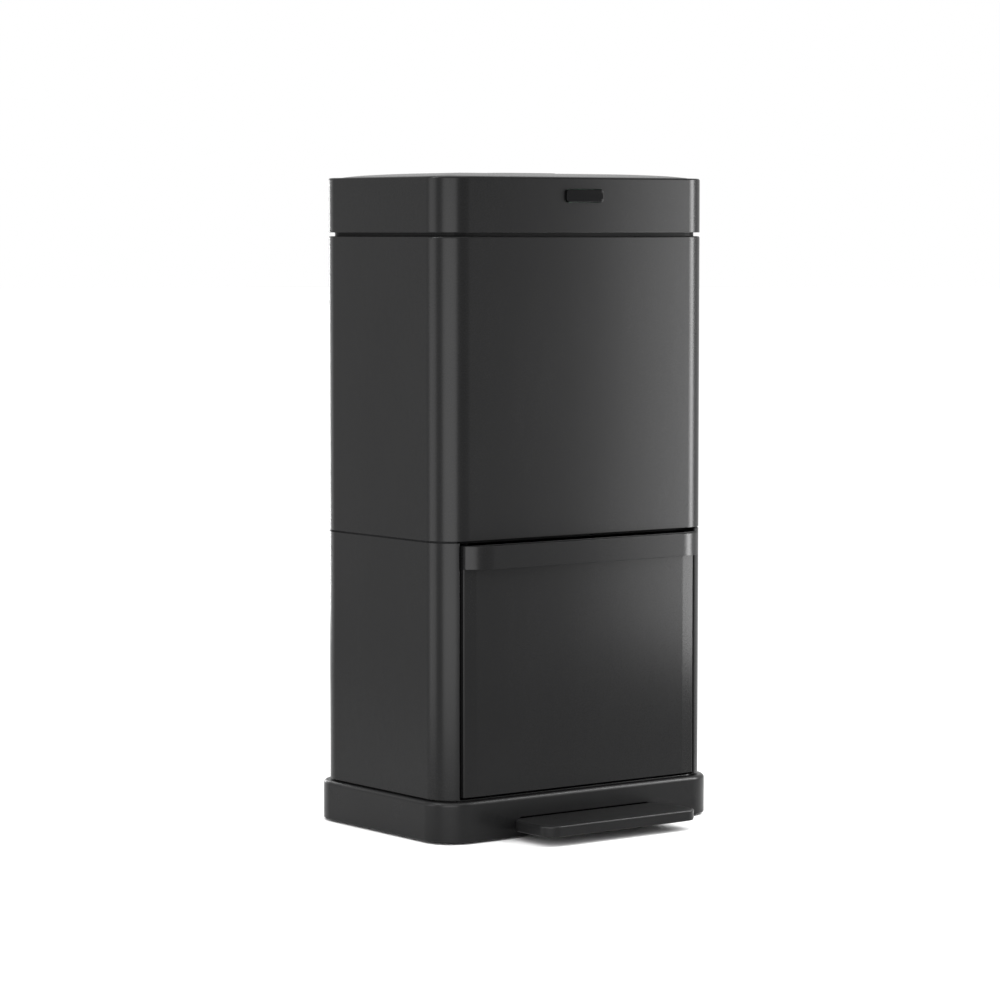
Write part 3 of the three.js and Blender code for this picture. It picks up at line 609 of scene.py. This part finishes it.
def grip_plan(inset):
    """The grip band's outline: flat in front, curving back at both ends, drawn in by an inset."""
    low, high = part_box("drawer_handle")
    bend = 50.6 * MM
    turn = math.radians(42)
    steps = 28
    flat = high.x - bend * math.sin(turn)
    radius = bend - inset
    angles = [turn * i / steps for i in range(steps + 1)]
    curve = [(flat + radius * math.sin(a), low.y + bend - radius * math.cos(a)) for a in angles]
    end_x = high.x - inset
    right = [(x, y) for x, y in curve if x < end_x - 0.2 * MM]
    last_x, last_y = right[-1]
    right.append((end_x, last_y + (end_x - last_x) * math.tan(turn)))
    right.append((end_x, high.y - inset))
    return right + mirrored(right)


def grip_band():
    """A hollow band, open at the top, that the fingers hook into."""
    low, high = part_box("drawer_handle")
    wall = 2.5 * MM
    piece = level_prism("grip_band", grip_plan(0), low.z, high.z)
    rear = high.y - wall
    right = [(x, y) for x, y in grip_plan(wall) if x > 0 and y < rear - 0.01 * MM]
    right.append((right[-1][0], rear))
    gap = level_prism("finger_gap", right + mirrored(right), low.z + wall, high.z + 5 * MM)
    carve(piece, gap)
    soften(piece, 1.1 * MM, segments=4, angle=30)
    stand_in(piece, "drawer_handle", "drawer", angle=30)


# ---------- carried-over CAD parts ----------
REBUILT = {
    "upper_shell", "lower_shell", "collar_skin", "status_button", "lid_skin", "base_plinth",
    "pedal_cover", "drawer_panel", "drawer_handle",
}


def dress_cad_parts():
    """Gives every CAD node that stays in view its material, clean flats and small rounded edges."""
    for name, node in frame["nodes"].items():
        if name in REBUILT:
            continue
        node.data.materials.clear()
        node.data.materials.append(MATERIALS[OWN_LOOK.get(name, SLOT_OF[name])])
        node.data.shade_smooth()
        if "spring" in name:  # round wire has no flats and no edges
            continue
        flats = node.modifiers.new("flats", "DECIMATE")
        flats.decimate_type = "DISSOLVE"
        flats.angle_limit = math.radians(0.6)
        low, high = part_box(name)
        thin = min(high - low)
        bevel(node, min(0.6 * MM, 0.12 * thin), segments=2, angle=38)
        even_normals(node)


# ---------- studio ----------
BODY_CENTRE_Y = sum(v.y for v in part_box("upper_shell")) / 2
CAMERA_PLACE = (-2.6638, -3.5134 + BODY_CENTRE_Y, 0.7123)
CAMERA_TURN = 36.933  # degrees that the view turns from +Y towards +X
CAMERA_PITCH = 4.236  # degrees down
CAMERA_LENS = 131.4
OVERHEAD_POWER = 3.6
OVERHEAD_SPREAD = 70  # degrees

# upright softboxes: name, azimuth (degrees, clockwise from behind the object), distance (m),
# width (degrees), bottom and top (m), radiance
STRIPS = [
    ("right_near", 124, 0.55, 11, 0.14, 0.9, 24.0),
    ("right_mid", 127, 0.8, 11, 0.14, 0.9, 11.5),
    ("right_soft", 138, 0.8, 11, 0.14, 0.9, 6.6),
    ("front_left", 225, 1.0, 43, 0.01, 0.85, 6.6),
    ("left", 281, 1.0, 26, 0.01, 0.85, 4.6),
    ("rear_soft", 336, 1.4, 14, 0.1, 0.9, 1.6),
    ("rear", 360, 1.4, 12, 0.1, 0.9, 8.5),
    ("high_left", 281, 1.0, 12, 1.1, 2.4, 24.0),
]


def strip_light(name, azimuth, distance, width, bottom, top, radiance):
    """An upright softbox that faces the object's axis from one side."""
    data = bpy.data.lights.new(name, "AREA")
    data.shape = "RECTANGLE"
    data.size = 2 * distance * math.tan(math.radians(width / 2))
    data.size_y = top - bottom
    data.energy = math.pi * data.size * data.size_y * radiance
    lamp = add_object(name, data)
    angle = math.radians(azimuth)
    away = Vector((math.sin(angle), math.cos(angle), 0))
    lamp.location = Vector((0, BODY_CENTRE_Y, (top + bottom) / 2)) + distance * away
    lamp.rotation_mode = "QUATERNION"
    lamp.rotation_quaternion = (-away).to_track_quat("-Z", "Y")


def studio():
    """White surroundings, a pale paper floor, a wide overhead light and the softboxes."""
    world = bpy.data.worlds.new("studio")
    bpy.context.scene.world = world
    world.use_nodes = True
    background = world.node_tree.nodes["Background"]
    background.inputs["Color"].default_value = (1, 1, 1, 1)
    background.inputs["Strength"].default_value = 1.0
    bm = bmesh.new()
    bmesh.ops.create_circle(bm, cap_ends=True, radius=40, segments=96)
    floor = mesh_object("floor", bm)
    paper = Nodes("floor_paper", (0.5, 0.5, 0.5), 0.9, specular=0.0)
    paper.color(paper.noise(3, 3), (0.49, 0.49, 0.49), (0.51, 0.51, 0.51))
    floor.data.materials.append(paper.material)
    sky = bpy.data.lights.new("overhead", "SUN")
    sky.energy = OVERHEAD_POWER
    sky.angle = math.radians(OVERHEAD_SPREAD)
    add_object("overhead", sky).location = (0, BODY_CENTRE_Y, 3)
    for strip in STRIPS:
        strip_light(*strip)


def camera():
    data = bpy.data.cameras.new("camera")
    data.lens = CAMERA_LENS
    data.sensor_width = 36
    view = add_object("camera", data)
    view.location = CAMERA_PLACE
    view.rotation_euler = Euler((math.radians(90 - CAMERA_PITCH), 0, math.radians(-CAMERA_TURN)))
    bpy.context.scene.camera = view


bpy.context.scene.view_settings.view_transform = "Standard"
upper_shell()
lower_shell()
collar_band()
button_cap()
lid_dome()
base_moulding()
base_upstand()
pedal_tread()
drawer_front()
grip_band()
dress_cad_parts()
studio()
camera()
